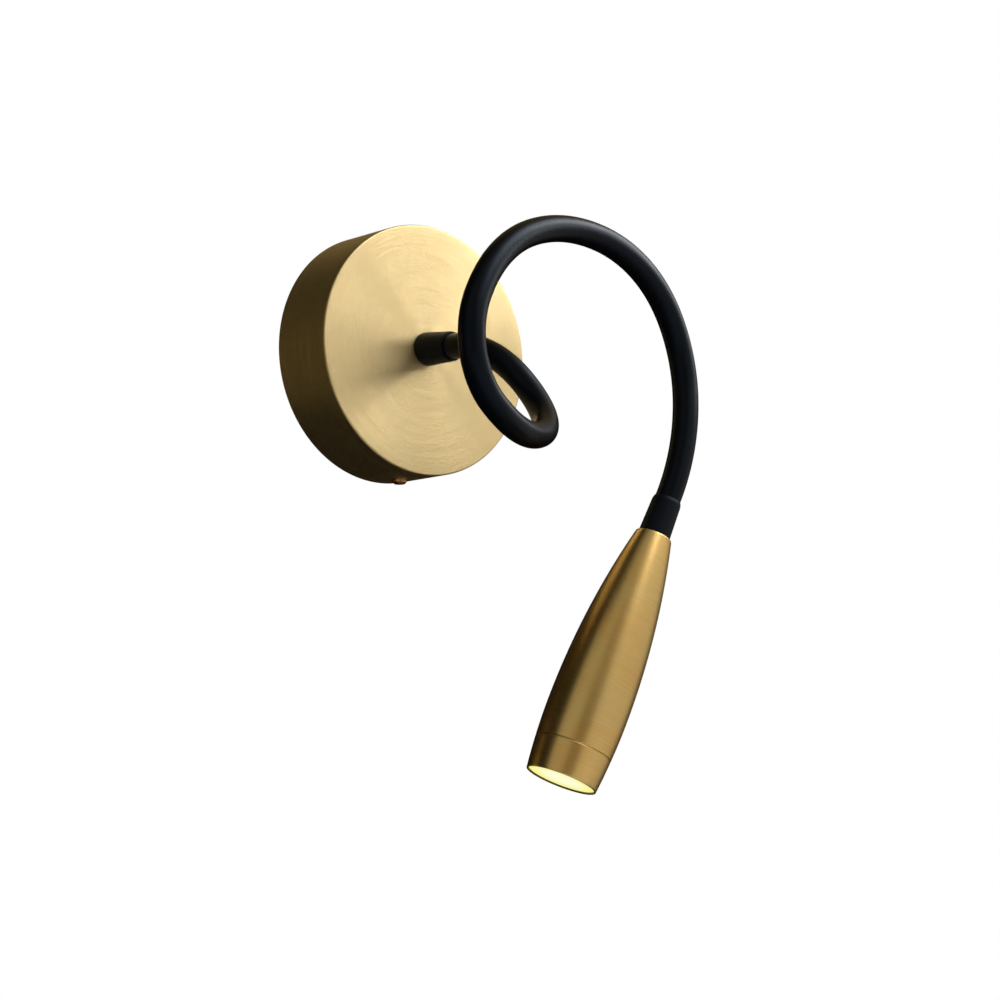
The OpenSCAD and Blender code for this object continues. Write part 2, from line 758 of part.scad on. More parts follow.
wall_bracket();
canopy_shell();
canopy_screws();
earth_washer();
earth_screw();
terminal_block();
terminal_screw();
driver();
driver_tape();
driver_leads();
hose_nipple();
lock_washer();
nipple_nut();
boot();
sleeve_root();
core_root();
cable_root();
for (k = link_numbers) {
    sleeve_link(k);
    core_link(k);
    cable_link(k);
}
sleeve_tip();
core_tip();
cable_tip();
collar();
head_nipple();
head_shell();
heat_sink();
led_board();
board_screws();
led_chip();
head_leads();
reflector();
lens_gasket();
lens();
bezel();
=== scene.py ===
"""Adjustable wall lamp: a brushed brass canopy, a black flexible hose and a slim spot head.

Metres. The wall is the plane y = 0, the lamp stands out of it along -Y, and +Z is up.
"""

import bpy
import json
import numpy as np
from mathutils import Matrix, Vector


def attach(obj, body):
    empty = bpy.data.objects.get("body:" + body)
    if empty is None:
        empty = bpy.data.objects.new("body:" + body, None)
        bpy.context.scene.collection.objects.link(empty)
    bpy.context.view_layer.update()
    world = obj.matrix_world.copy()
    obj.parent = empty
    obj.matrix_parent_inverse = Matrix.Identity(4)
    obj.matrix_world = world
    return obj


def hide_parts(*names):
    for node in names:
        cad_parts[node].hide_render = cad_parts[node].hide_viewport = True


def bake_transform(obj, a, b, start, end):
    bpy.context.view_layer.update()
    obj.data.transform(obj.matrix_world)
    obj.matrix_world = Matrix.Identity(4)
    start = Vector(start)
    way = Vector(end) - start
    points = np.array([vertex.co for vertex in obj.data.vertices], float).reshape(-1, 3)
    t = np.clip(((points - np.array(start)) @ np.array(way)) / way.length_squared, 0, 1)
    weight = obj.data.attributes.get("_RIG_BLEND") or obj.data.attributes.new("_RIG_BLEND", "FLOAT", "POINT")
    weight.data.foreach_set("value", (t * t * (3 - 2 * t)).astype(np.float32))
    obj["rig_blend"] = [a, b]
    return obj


bl_info = {
    "name": "Adjustable wall lamp",
    "version": (1, 0, 0),
    "blender": (4, 5, 0),
    "location": "3D View > Sidebar > Wall lamp",
    "description": "Dresses the packed wall lamp in brass, silicone, steel and light",
    "category": "Add Mesh",
}

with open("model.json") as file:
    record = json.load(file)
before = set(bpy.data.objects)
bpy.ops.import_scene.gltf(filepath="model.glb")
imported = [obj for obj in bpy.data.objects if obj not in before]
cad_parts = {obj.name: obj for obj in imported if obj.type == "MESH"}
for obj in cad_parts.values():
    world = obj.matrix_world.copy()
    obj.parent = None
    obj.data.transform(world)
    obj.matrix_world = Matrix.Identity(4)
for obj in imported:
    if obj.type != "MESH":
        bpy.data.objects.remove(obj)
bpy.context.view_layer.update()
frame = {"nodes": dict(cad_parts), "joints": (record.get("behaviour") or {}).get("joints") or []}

import json
import math

import bpy
import numpy as np
from bpy.props import FloatProperty, FloatVectorProperty, PointerProperty
from mathutils import Matrix, Vector

MM = 0.001
SEAT = 0.05 * MM  # a piece stands this far off the one that it touches
FINE = 0.05 * MM  # the smallest easing of an edge


def length(name, description, default, low=0.0):
    return FloatProperty(name=name, description=description, default=default, min=low,
                         precision=5, subtype="DISTANCE", unit="LENGTH")


def angle(name, description, turn):
    return FloatProperty(name=name, description=description, default=math.radians(turn),
                         subtype="ANGLE", unit="ROTATION")


def colour(name, description, default):
    return FloatVectorProperty(name=name, description=description, default=default, size=3,
                               min=0.0, max=1.0, subtype="COLOR")


def degrees(name, description, *default):
    return FloatVectorProperty(name=name, description=description + ", in degrees",
                               default=default, size=len(default))


class CanopySizes(bpy.types.PropertyGroup):
    radius: length("Radius", "Outer radius of the canopy", 0.05)
    depth: length("Depth", "From the wall to the face", 0.03)
    wall: length("Wall", "Thickness of the brass", 0.0015)
    edge: length("Edge", "Radius of the eased edge round the face", 0.0009)
    nipple: length("Nipple radius", "Radius of the threaded nipple", 0.00495)
    bend: length("Cable bend", "Radius of the cable's turn behind the nipple", 0.008)
    driver_side: length("Driver side", "From the middle to the driver", 0.015)
    driver_entry: length("Driver entry", "Length of the cable in the driver", 0.0025)
    cable_out: length("Cable out", "Length of its fixed end before the face", 0.0006)
    nipple_reach: length("Nipple reach", "Length of the nipple behind the face", 0.008)
    cable_run: length("Cable run", "From the nipple's end to the cable's turn", 0.004)


class HoseSizes(bpy.types.PropertyGroup):
    bend: degrees("Bend", "Bend of each length", 50, 73, 50.5, 82, 41.5, 33, 32, 56, 22)
    side: degrees("Side", "Side that each length bends to",
                  -161.5, 82, 58, 36.5, 31.5, 22, 48.5, 21, 74.5)
    droop: angle("Droop", "Droop of the hose at the canopy", 4)
    link: length("Length", "Length between two flex points", 0.041)
    lead: length("Lead", "From the canopy's face to the first flex point", 0.018)
    tail: length("Tail", "From the last flex point to the head", 0.017)
    pivot: length("Pivot", "From the face to where it droops", 0.003)
    radius: length("Radius", "Outer radius of the sleeve", 0.005)
    bore: length("Bore", "Inner radius of the sleeve", 0.004)
    core: length("Core", "Outer radius of the wound core", 0.00395)
    core_bore: length("Core bore", "Inner radius of the core", 0.00225)
    pitch: length("Core pitch", "From one turn of the core to the next", 0.0024)
    groove: length("Core groove", "Depth between two turns", 0.00055)
    cable: length("Cable", "Radius of the cable inside", 0.0018)
    hose_end: length("Hose end", "Length in the canopy's face", 0.0021)
    hose_into: length("Hose stop", "From the head's neck to the hose's end", -0.0007, low=-1.0)
    cable_into: length("Cable into head", "From the head's neck to the cable's end", 0.0396)
    flex: length("Flex zone", "Length that a flex point bends", 0.036)
    end_flex: length("End flex zone", "The same at the boot and at the collar", 0.024)


class RubberSizes(bpy.types.PropertyGroup):
    boot_length: length("Boot length", "Length of the boot at the canopy", 0.0163)
    boot_root: length("Boot root", "Its radius at the canopy", 0.0067)
    boot_tip: length("Boot tip", "Its radius at the tip", 0.00585)
    socket: length("Socket", "Room in the boot for the nipple's socket", 0.00605)
    socket_end: length("Socket end", "From the canopy to where that room narrows", 0.0061)
    socket_slope: length("Socket slope", "Length over which it narrows", 0.0003)
    collar_length: length("Collar length", "Length of the collar at the head", 0.0153)
    collar_tip: length("Collar tip", "Its radius where the hose enters", 0.0057)
    collar_root: length("Collar root", "Its radius at the head", 0.0062)
    lip: length("Collar lip", "Width of its lip round the hose", 0.00025)
    shoulder: length("Collar shoulder", "Length of the slope behind the lip", 0.0012)
    collar_room: length("Collar room", "Room round the head's socket", 0.0005)
    collar_socket: length("Collar socket", "Depth of that room", 0.0081)


class HeadSizes(bpy.types.PropertyGroup):
    length: length("Length", "Length of the head", 0.101)
    radius: length("Radius", "Largest radius of the head", 0.0154)
    neck: length("Neck", "Radius of the neck", 0.0071)
    mouth: length("Mouth", "Radius at the mouth", 0.0137)
    widest: length("Widest", "From the neck to the widest place", 0.072)
    wall: length("Wall", "Wall of the shell", 0.0018)
    bezel: length("Bezel", "Length of the bezel that shows", 0.013)
    spigot: length("Spigot", "Length of the bezel's thread", 0.008)
    rim: length("Rim", "Width of the rim round the lens", 0.0006)
    neck_solid: length("Solid neck", "Depth of the solid neck", 0.010)
    lens: length("Lens", "Thickness of the lens", 0.0023)
    recess: length("Recess", "Depth of the lens behind the rim", 0.0006)
    gasket: length("Gasket", "Room for the gasket behind the lens", 0.0006)
    thread_wall: length("Thread wall", "Wall of the bezel behind its thread", 0.0012)
    thread_end: length("Thread end", "Room behind the bezel's thread", 0.0005)
    chip: length("Chip", "Radius of the phosphor behind the lens", 0.004)
    neck_bore: length("Neck bore", "Radius of the bore in the neck", 0.00495)
    neck_edge: length("Neck edge", "Easing of the edge at the neck", 0.0005)
    seam_edge: length("Seam edge", "Easing of the edge at the seam", 0.00028)
    seam_gap: length("Seam gap", "Gap between shell and bezel", 0.0001)
    chamfer_in: length("Chamfer in", "Width of the bezel's rear chamfer", 0.00016)
    chamfer_down: length("Chamfer length", "Length of that chamfer", 0.0005)


class Colours(bpy.types.PropertyGroup):
    canopy_brass: colour("Canopy brass", "Champagne brass of the canopy", (0.645, 0.505, 0.265))
    head_brass: colour("Head brass", "Deeper brass of the head", (0.83, 0.585, 0.233))
    bare_brass: colour("Bare brass", "Turned brass of nipple and nut", (0.74, 0.56, 0.26))
    copper: colour("Copper", "Reddish brass of the screws", (0.72, 0.38, 0.18))
    steel: colour("Steel", "Bright steel", (0.55, 0.55, 0.56))
    zinc: colour("Zinc", "Zinc-plated strap", (0.58, 0.60, 0.62))
    aluminium: colour("Aluminium", "Heat sink and reflector", (0.80, 0.81, 0.82))
    silicone: colour("Silicone", "Black silicone of the hose", (0.0012, 0.0014, 0.0019))
    rubber: colour("Rubber", "Black rubber of boot and collar", (0.0018, 0.0019, 0.0022))
    white: colour("White plastic", "Driver, block and board", (0.78, 0.78, 0.75))
    insulation: colour("Insulation", "Brown insulation of the leads", (0.25, 0.09, 0.035))
    glow_rim: colour("Glow rim", "Light at the rim of the lens", (0.93, 0.90, 0.26))
    glow_middle: colour("Glow middle", "Light in the middle of the lens", (0.97, 0.97, 0.66))


# The flags round the lamp: what each is, its azimuths and heights in degrees, its shade, and how
# near it hangs, as a share of their reach. A nearer one hides what lies behind it.
FLAGS = {
    "back": ("dark flag behind", (97, 269, -90, 90), (0.012, 0.009, 0.005), 1.0),
    "bounce": ("faint bounce from behind", (-152, -132, -8, 12), (0.55, 0.42, 0.17), 0.97),
    "top": ("flag behind and above", (100, 172, 24, 90), (0.26, 0.19, 0.08), 0.97),
    "cap": ("dark cap overhead", (-180, 180, 74, 90), (0.05, 0.045, 0.035), 0.95),
    "left": ("left flag", (-91, -43, -30, 44), (0.39, 0.365, 0.29), 1.0),
    "near": ("flag beside the camera", (-43, -10, -30, 34), (0.19, 0.165, 0.10), 1.0),
    "high": ("flag over the camera", (-91, -12, 34, 90), (0.29, 0.27, 0.20), 1.0),
    "right": ("right flag", (83, 97, -30, 90), (0.30, 0.27, 0.21), 1.0),
    "front": ("dim lower front", (-10, 83, -30, 0), (0.52, 0.49, 0.42), 1.0),
    "main": ("wide pale front", (-10, 83, 22, 90), (0.76, 0.73, 0.65), 1.0),
    "middle": ("front at the lamp's height", (-10, 83, 0, 22), (0.56, 0.535, 0.47), 1.0),
    "low": ("flag under the lamp", (-91, 97, -90, -30), (0.04, 0.034, 0.026), 1.0),
}

# The lights: azimuth and height in degrees, width and height, watts, and distance.
LIGHTS = {
    "key": ((64, 28), (0.28, 0.28), 1.1, 0.5),
    "overhead": ((43, 45), (0.7, 0.35), 3.1, 0.8),
}


class StudioSettings(bpy.types.PropertyGroup):
    focal: FloatProperty(name="Focal length", description="Focal length of the camera",
                         default=97.2, subtype="DISTANCE_CAMERA")
    azimuth: angle("Azimuth", "Where the camera stands round the lamp", -39.8)
    elevation: angle("Elevation", "Height of the camera over the lamp", -7.4)
    distance: length("Distance", "From the camera to the canopy", 1.088)
    shift_right: length("Right", "Shift of the camera to its right", 0.0482, low=-1.0)
    shift_up: length("Up", "Shift of the camera upwards", -0.0563, low=-1.0)
    floor_drop: length("Floor", "From the canopy's centre down to the floor", 0.6)
    floor_reach: length("Floor reach", "Radius at which the floor has faded out", 1.9)
    flag_reach: length("Flag reach", "From the lamp to the flags that its gloss sees", 1.9)
    sky: FloatProperty(name="Sky", description="Strength of the soft light from all round",
                       default=0.72)


def lights_and_flags():
    """The settings that the two tables hold."""
    made = {}
    for light, (where, sides, watts, away) in LIGHTS.items():
        title, owner = light.capitalize() + " light's ", " of the %s light" % light
        made[light + "_place"] = degrees(title + "place", "Azimuth and height" + owner, *where)
        made[light + "_face"] = FloatVectorProperty(
            name=title + "face", description="Width and height" + owner, default=sides, size=2,
            min=0.0, subtype="XYZ_LENGTH", unit="LENGTH")
        made[light + "_power"] = FloatProperty(
            name=title + "power", description="Power" + owner, default=watts, min=0.0,
            subtype="POWER", unit="POWER")
        made[light + "_away"] = length(title + "distance", "Distance" + owner + " from the canopy",
                                       away)
    for flag, (what, patch, shade, _) in FLAGS.items():
        title = flag.capitalize()
        made[flag + "_span"] = degrees(title + " span", "Azimuths and heights of the " + what,
                                       *patch)
        made[flag] = colour(title + " shade", "Shade of the " + what, shade)
    return made


StudioSettings.__annotations__.update(lights_and_flags())


# Surfaces

def added(name, data):
    """A new object at the origin."""
    made = bpy.data.objects.new(name, data)
    bpy.context.scene.collection.objects.link(made)
    return made


def unit(vectors):
    return vectors / np.linalg.norm(vectors, axis=1, keepdims=True)


def skin(name, grid, along=None, close_rows=False, normals=None, flat_rows=()):
    """A closed mesh over a grid of points, rows by columns, whose columns run round the piece.

    Each cell between two rows and two columns is one face. The last row is joined to the first
    where close_rows is set; else a fan closes the first row and another the last. Normals give
    each point its own, but the fans and the cells that start at flat_rows stay flat.
    """
    rows, columns = grid.shape[:2]
    i = np.arange(rows if close_rows else rows - 1)[:, None]
    j = np.arange(columns)[None, :]
    below, above = i * columns, (i + 1) % rows * columns
    here, there = j, (j + 1) % columns
    loops = np.stack([below + here, below + there, above + there, above + here], -1).ravel()
    sizes = np.full(len(loops) // 4, 4)
    flat = np.repeat(np.isin(i, flat_rows), columns)
    along = np.arange(rows) / rows if along is None else along
    left, right = (j + 0 * i) / columns, (j + 1 + 0 * i) / columns
    low, high = along[i] + 0 * j, along[(i + 1) % rows] + 0 * j
    uv = np.stack([left, low, right, low, right, high, left, high], -1).reshape(-1, 2)
    points = grid.reshape(-1, 3)
    if not close_rows:
        ring = np.array([[0], [rows - 1]]) * columns + j
        centre = len(points) + np.array([[0], [1]]) + 0 * ring
        fans = np.stack([centre, ring, np.roll(ring, -1, 1)], -1)
        fans[0] = fans[0][:, [0, 2, 1]]
        loops = np.concatenate([loops, fans.ravel()])
        sizes = np.concatenate([sizes, np.full(2 * columns, 3)])
        flat = np.concatenate([flat, np.ones(2 * columns, bool)])
        uv = np.concatenate([uv, np.zeros((6 * columns, 2))])
        points = np.concatenate([points, grid[[0, -1]].mean(1)])
    starts = np.concatenate([[0], np.cumsum(sizes)[:-1]])
    if enclosed_volume(points, loops, starts, sizes) < 0:
        turn = np.repeat(2 * starts + sizes - 1, sizes) - np.arange(len(loops))
        loops, uv = loops[turn], uv[turn]
    mesh = bpy.data.meshes.new(name)
    mesh.vertices.add(len(points))
    mesh.vertices.foreach_set("co", points.astype(np.float32).ravel())
    mesh.loops.add(len(loops))
    mesh.loops.foreach_set("vertex_index", loops.astype(np.int32))
    mesh.polygons.add(len(sizes))
    mesh.polygons.foreach_set("loop_start", starts.astype(np.int32))
    mesh.update(calc_edges=True)
    layer = mesh.uv_layers.new(name="UVMap")
    layer.data.foreach_set("uv", uv.astype(np.float32).ravel())
    mesh.shade_smooth()
    if normals is None:
        mesh.set_sharp_from_angle(angle=math.radians(32))
    else:
        corner = points[loops[starts[:, None] + np.arange(3)]]
        own = unit(np.cross(corner[:, 1] - corner[:, 0], corner[:, 2] - corner[:, 1]))
        smooth = np.concatenate([normals.reshape(-1, 3), np.zeros((2, 3))])[loops]
        mesh.normals_split_custom_set(np.where(np.repeat(flat, sizes)[:, None],
                                               np.repeat(own, sizes, 0), smooth))
    return added(name, mesh)


def enclosed_volume(points, loops, starts, sizes):
    """Six times the volume: the sum of the triple products of each face's first corner with the
    two ends of each of its sides."""
    following = np.arange(len(loops)) + 1
    following[starts + sizes - 1] = starts
    first, here = points[loops[np.repeat(starts, sizes)]], points[loops]
    return np.sum(first * np.cross(here, here[following]))


def rings(radius, height, angle, place):
    """Point = frame * (radius cos a, radius sin a, height), in a 4 x 4 frame."""
    local = np.stack([radius * np.cos(angle), radius * np.sin(angle), height + 0 * angle], -1)
    return local @ place[:3, :3].T + place[:3, 3]


def revolve(name, outline, place, sides=192):
    """A closed outline of radii and heights, turned once about the z axis of a frame."""
    angle = np.linspace(0, 2 * np.pi, sides, endpoint=False)
    return skin(name, rings(outline[:, :1], outline[:, 1:], angle, place), close_rows=True)


def eased(start, corner, end, steps):
    """Points on the parabola whose first and last direction are the two sides of a corner."""
    t = np.linspace(0, 1, steps)[:, None]
    return (1 - t) ** 2 * start + 2 * t * (1 - t) * corner + t ** 2 * end


def rounded(corners, steps=6):
    """A closed outline with eased corners. Each corner is a radius, a height and an easing, and
    its parabola runs from one easing before the corner to one easing after it."""
    corners = np.asarray(corners, float)
    points, ease = corners[:, :2], corners[:, 2:3]
    before = np.roll(points, 1, 0) - points
    after = np.roll(points, -1, 0) - points
    start, end = points + unit(before) * ease, points + unit(after) * ease
    curve = eased(start[:, None], points[:, None], end[:, None], steps)
    keep = np.ones((len(points), steps), bool)
    keep[ease[:, 0] == 0, 1:] = False
    return curve[keep]


# The hose's path

def turn_y(angle):
    """Turns about y, one 3 x 3 matrix for each angle."""
    angle = np.asarray(angle, float)
    c, s, zero, one = np.cos(angle), np.sin(angle), 0 * angle, 0 * angle + 1
    return np.stack([c, zero, s, zero, one, zero, -s, zero, c], -1).reshape(angle.shape + (3, 3))


def turn_z(angle):
    """Turns about z, one 3 x 3 matrix."""
    c, s = math.cos(angle), math.sin(angle)
    return np.array([[c, -s, 0], [s, c, 0], [0, 0, 1]])


def arc(place, bend, side, span, distance):
    """Places and turns along an arc, at distances from its start.

    The arc lies in the plane that side names, round from the frame's x, and turns by bend over
    the span. Point = frame * turn(side) * radius (1 - cos t, 0, sin t), and the turn at t is
    turn(side) * turn_y(t) * turn(-side), so a section never twists.
    """
    angle = bend * np.asarray(distance, float) / span
    radius = span / bend
    zero = 0 * angle
    local = radius * np.stack([1 - np.cos(angle), zero, np.sin(angle)], -1)
    out, back = turn_z(side), turn_z(-side)
    points = local @ (place[:3, :3] @ out).T + place[:3, 3]
    return points, place[:3, :3] @ out @ turn_y(angle) @ back


def line(place, distance):
    """Places and turns along a straight length in the frame's z."""
    distance = np.asarray(distance, float)
    points = place[:3, 3] + distance[:, None] * place[:3, 2]
    return points, np.broadcast_to(place[:3, :3], (len(distance), 3, 3))


def joined(point, turn):
    """A 4 x 4 frame from its place and its turn."""
    place = np.eye(4)
    place[:3, :3], place[:3, 3] = turn, point
    return place


def last_of(path):
    """The frame at the end of a path's places and turns."""
    return joined(path[0][-1], path[1][-1])


def link_arc(hose, frames, k, distance):
    """Places and turns along length k of the hose, which starts at flex point k."""
    return arc(frames[k], math.radians(hose.bend[k]), math.radians(hose.side[k]), hose.link,
               distance)


def flex_frames(scene):
    """The frames of the ten flex points and of the head's neck, z along the hose."""
    hose, canopy = scene.lamp_hose, scene.lamp_canopy
    out = np.array([[0, -1, 0], [0, 0, -1], [1, 0, 0]], float)
    place = joined((0, -canopy.depth - hose.pivot, 0), out @ turn_y(-hose.droop))
    frames = [last_of(line(place, [hose.lead - hose.pivot]))]
    for k in range(len(hose.bend)):
        frames.append(last_of(link_arc(hose, frames, k, [hose.link])))
    for joint, place in zip(frame["joints"], frames):
        if np.linalg.norm(place[:3, 3] - np.array(joint["pos_m"])) > 0.1 * MM:
            raise RuntimeError("the hose's path has left the packed joint " + joint["name"])
    return frames, last_of(line(frames[-1], [hose.tail]))


def along_hose(hose, frames, k, start, end, count):
    """Places and turns from start to end, measured from flex point k, with its own place on the
    path: the arc or straight before it for what is negative, and the one after it otherwise."""
    s = np.linspace(start, end, count)
    before, after = s[s < 0], s[s >= 0]
    first = (line(frames[0], before) if k == 0
             else link_arc(hose, frames, k - 1, hose.link + before))
    second = (line(frames[k], after) if k == len(hose.bend)
              else link_arc(hose, frames, k, after))
    points, turns = (np.concatenate(pair) for pair in zip(first, second))
    return points, turns, hose.lead + k * hose.link + s


def tube(name, points, turns, distance, radius, bore=0.0, sides=64, ripple=0.0, pitch=1.0):
    """A round section carried along a path.

    Point = path + r (cos a * x + sin a * y) of the turn there. r is the radius, less half of
    ripple * (1 - cos of the winding angle), which climbs one turn in each pitch. With a bore, an
    inner surface runs back at that radius and the two ends are rims; else they are capped.
    """
    angle = np.linspace(0, 2 * np.pi, sides, endpoint=False)
    out = (np.cos(angle)[None, :, None] * turns[:, None, :, 0]
           + np.sin(angle)[None, :, None] * turns[:, None, :, 1])
    winding = 2 * np.pi * distance[:, None] / pitch - angle[None, :]
    r = radius - ripple * 0.5 * (1 - np.cos(winding))
    outer = points[:, None, :] + r[:, :, None] * out
    if not bore:
        return skin(name, outer, along=distance * 10, normals=None if ripple else out)
    inner = points[:, None, :] + bore * out
    rows = len(points)
    return skin(name, np.concatenate([outer, inner[::-1]]), close_rows=True,
                along=np.concatenate([distance, distance[::-1]]) * 10,
                normals=None if ripple else np.concatenate([out, -out[::-1]]),
                flat_rows=(rows - 1, 2 * rows - 1))


# Materials

def operator(operation):
    """A Math node with the socket's number first, and its reflected form with it last."""
    def first(self, other):
        return self.nodes.math(operation, self, other)

    def last(self, other):
        return self.nodes.math(operation, other, self)

    return first, last


class Value:
    """A socket's number. Sums on it add Math nodes."""

    __add__, __radd__ = operator("ADD")
    __sub__, __rsub__ = operator("SUBTRACT")
    __mul__, __rmul__ = operator("MULTIPLY")
    __truediv__, __rtruediv__ = operator("DIVIDE")

    def __init__(self, nodes, socket):
        self.nodes, self.socket = nodes, socket

    def between(self, low, high):
        """0 below low, 1 above high and a smooth step from one to the other."""
        return self.nodes.node("ShaderNodeMapRange",
                               {"Value": self, "From Min": low, "From Max": high}, "Result",
                               interpolation_type="SMOOTHSTEP")


class Nodes:
    """The nodes of a material or of the world."""

    def __init__(self, tree):
        self.tree = tree

    def node(self, kind, inputs=None, output=0, **settings):
        """Adds a node, sets it, fills its sockets with values or links, and gives an output."""
        made = self.tree.nodes.new(kind)
        for key, value in settings.items():
            setattr(made, key, value)
        for key, value in (inputs or {}).items():
            self.feed(made.inputs[key], value)
        return Value(self, made.outputs[output])

    def feed(self, socket, value):
        if isinstance(value, Value):
            self.tree.links.new(value.socket, socket)
        else:
            socket.default_value = (*value, 1.0) if socket.type == "RGBA" else value

    def math(self, operation, *values):
        return self.node("ShaderNodeMath", dict(enumerate(values)), operation=operation)

    def mix(self, factor, first, second):
        """A colour between two colours."""
        return self.node("ShaderNodeMix", {0: factor, 6: first, 7: second}, 2,
                         data_type="RGBA")

    def scaled(self, shade, factor):
        """A colour made lighter or darker by a number."""
        return self.node("ShaderNodeVectorMath", {0: shade, "Scale": factor},
                         operation="SCALE")

    def noise(self, vector, scale=1.0, detail=2.0, roughness=0.5):
        return self.node("ShaderNodeTexNoise", {"Vector": vector, "Scale": scale,
                                                "Detail": detail, "Roughness": roughness}, "Fac")

    def place(self, frame_matrix=None):
        """Object coordinates, turned into a piece's own frame where one is given."""
        vector = self.node("ShaderNodeTexCoord", output="Object")
        if frame_matrix is None:
            return vector
        into = Matrix(frame_matrix.tolist()).inverted()
        return self.node("ShaderNodeMapping",
                         {"Vector": vector, "Location": into.to_translation(),
                          "Rotation": into.to_euler()}, vector_type="POINT")

    def split(self, vector):
        made = self.node("ShaderNodeSeparateXYZ", {0: vector})
        return [Value(self, out) for out in made.socket.node.outputs]

    def joined(self, x, y, z):
        return self.node("ShaderNodeCombineXYZ", {0: x, 1: y, 2: z})

    def bump(self, height, distance):
        return self.node("ShaderNodeBump", {"Height": height, "Distance": distance})


class Finish(Nodes):
    """A material's nodes, with a Principled shader that the caller sets."""

    def __init__(self, name):
        self.material = bpy.data.materials.new(name)
        self.material.use_nodes = True
        super().__init__(self.material.node_tree)

    def set(self, **sockets):
        for name, value in sockets.items():
            self.feed(self.tree.nodes["Principled BSDF"].inputs[name.replace("_", " ")], value)
        return self.material


def turned_metal(name, shade, place, roughness=0.27, streak=0.06, tint=0.05, bump=0.00002,
                 grain=0.00005, sweep=0.8, patina=0.15, painted_shade_radius=0.0):
    """Brushed on a lathe: fine lines run round the axis. A noise is read at the point's direction
    round the axis, which changes slowly, and at its place across the lines, which changes fast.
    Patches of patina are redder. Within a given radius the metal is darkened: painted shade on the inner lip
    of a mouth."""
    finish = Finish(name)
    spot = finish.place(place)
    x, y, z = finish.split(spot)
    radius = finish.math("SQRT", x * x + y * y)
    round_x, round_y = x / (radius + 0.0002), y / (radius + 0.0002)
    across = radius + z
    fine = finish.noise(finish.joined(round_x * sweep, round_y * sweep, across / grain),
                        detail=1.0)
    broad = finish.noise(finish.joined(round_x * sweep, round_y * sweep, across / (grain * 9)),
                         roughness=0.7)
    cloud = finish.noise(spot, scale=42.0, detail=3.0)
    worn = finish.noise(spot, scale=9.0, detail=1.0)
    dull = (fine - 0.5) * streak + (broad - 0.5) * (streak * 0.6) + (cloud - 0.5) * 0.06
    light = (fine - 0.5) * tint + (broad - 0.5) * (tint * 0.7) + (worn - 0.5) * 0.05 + 1.0
    # Painted shade: inside that radius the brass is darkened, as though the inner lip of the mouth lay in
    # shade
    if painted_shade_radius:
        light = light * (radius.between(painted_shade_radius - 0.15 * MM, painted_shade_radius) * 0.88 + 0.12)
    redder = (shade[0] * 1.02, shade[1] * 0.92, shade[2] * 0.82)
    patches = finish.noise(spot, scale=60.0, detail=3.0).between(0.42, 0.62)
    aged = finish.mix(patches * patina, shade, redder)
    return finish.set(Base_Color=finish.scaled(aged, light), Metallic=1.0,
                      Roughness=dull + roughness, Normal=finish.bump(fine, bump))


def matt_black(name, shade, roughness, use_uv=False, skin_scale=900.0, bump=0.00003,
               gloss=0.20):
    """Soft black rubber: a pebbled skin too fine to see one by one, and faint cloudy sheen."""
    finish = Finish(name)
    if use_uv:
        u, v, _ = finish.split(finish.node("ShaderNodeUVMap", uv_map="UVMap"))
        turn = u * (2 * math.pi)
        vector = finish.joined(finish.math("COSINE", turn) * 0.005,
                               finish.math("SINE", turn) * 0.005, v * 0.1)
    else:
        vector = finish.place()
    pebbles = finish.noise(vector, scale=skin_scale, detail=3.0, roughness=0.65)
    cloud = finish.noise(vector, scale=60.0, detail=3.0)
    dust = finish.noise(vector, scale=420.0).between(0.66, 0.80)
    base = finish.scaled(shade, (cloud - 0.5) * 0.5 + 1.0)
    base = finish.mix(dust * 0.10, base, (0.06, 0.062, 0.066))
    return finish.set(Base_Color=base, Specular_IOR_Level=gloss, Specular_Tint=(0.50, 0.68, 1.0),
                      Roughness=(cloud - 0.5) * 0.12 + (pebbles - 0.5) * 0.10 + roughness,
                      Normal=finish.bump(pebbles, bump))


def moulded(name, shade, roughness, grain=1500.0, bump=0.00002):
    """Moulded plastic: a fine spark-eroded grain and slight clouds of shade."""
    finish = Finish(name)
    vector = finish.place()
    fine = finish.noise(vector, scale=grain)
    cloud = finish.noise(vector, scale=70.0, detail=3.0)
    return finish.set(Base_Color=finish.scaled(shade, (cloud - 0.5) * 0.10 + 1.0),
                      Roughness=(fine - 0.5) * 0.15 + (cloud - 0.5) * 0.1 + roughness,
                      Normal=finish.bump(fine, bump))


def plated(name, shade, roughness, flake=260.0, tint=0.25, bump=0.00002):
    """Plated or rolled metal: patches of crystal that differ in shade and gloss."""
    finish = Finish(name)
    vector = finish.place()
    patch = finish.node("ShaderNodeTexVoronoi", {"Vector": vector, "Scale": flake}, "Color")
    level = finish.split(patch)[0]
    fine = finish.noise(vector, scale=2400.0)
    cloud = finish.noise(vector, scale=55.0, detail=3.0)
    light = (level - 0.5) * tint + (cloud - 0.5) * 0.2 + 1.0
    return finish.set(Base_Color=finish.scaled(shade, light), Metallic=1.0,
                      Roughness=(level - 0.5) * 0.12 + (cloud - 0.5) * 0.15 + roughness,
                      Normal=finish.bump(fine, bump))


def wound_steel(name, shade):
    """Spring wire: drawing lines along each turn, and broad clouds in its tone."""
    finish = Finish(name)
    u, v, _ = finish.split(finish.node("ShaderNodeUVMap", uv_map="UVMap"))
    fine = finish.noise(finish.joined(u * 6, v * 4200, 0.0))
    cloud = finish.noise(finish.joined(u * 2, v * 90, 0.0), detail=3.0)
    light = (fine - 0.5) * 0.3 + (cloud - 0.5) * 0.3 + 1.0
    return finish.set(Base_Color=finish.scaled(shade, light), Metallic=1.0,
                      Roughness=(fine - 0.5) * 0.2 + 0.32, Normal=finish.bump(fine, 0.00001))


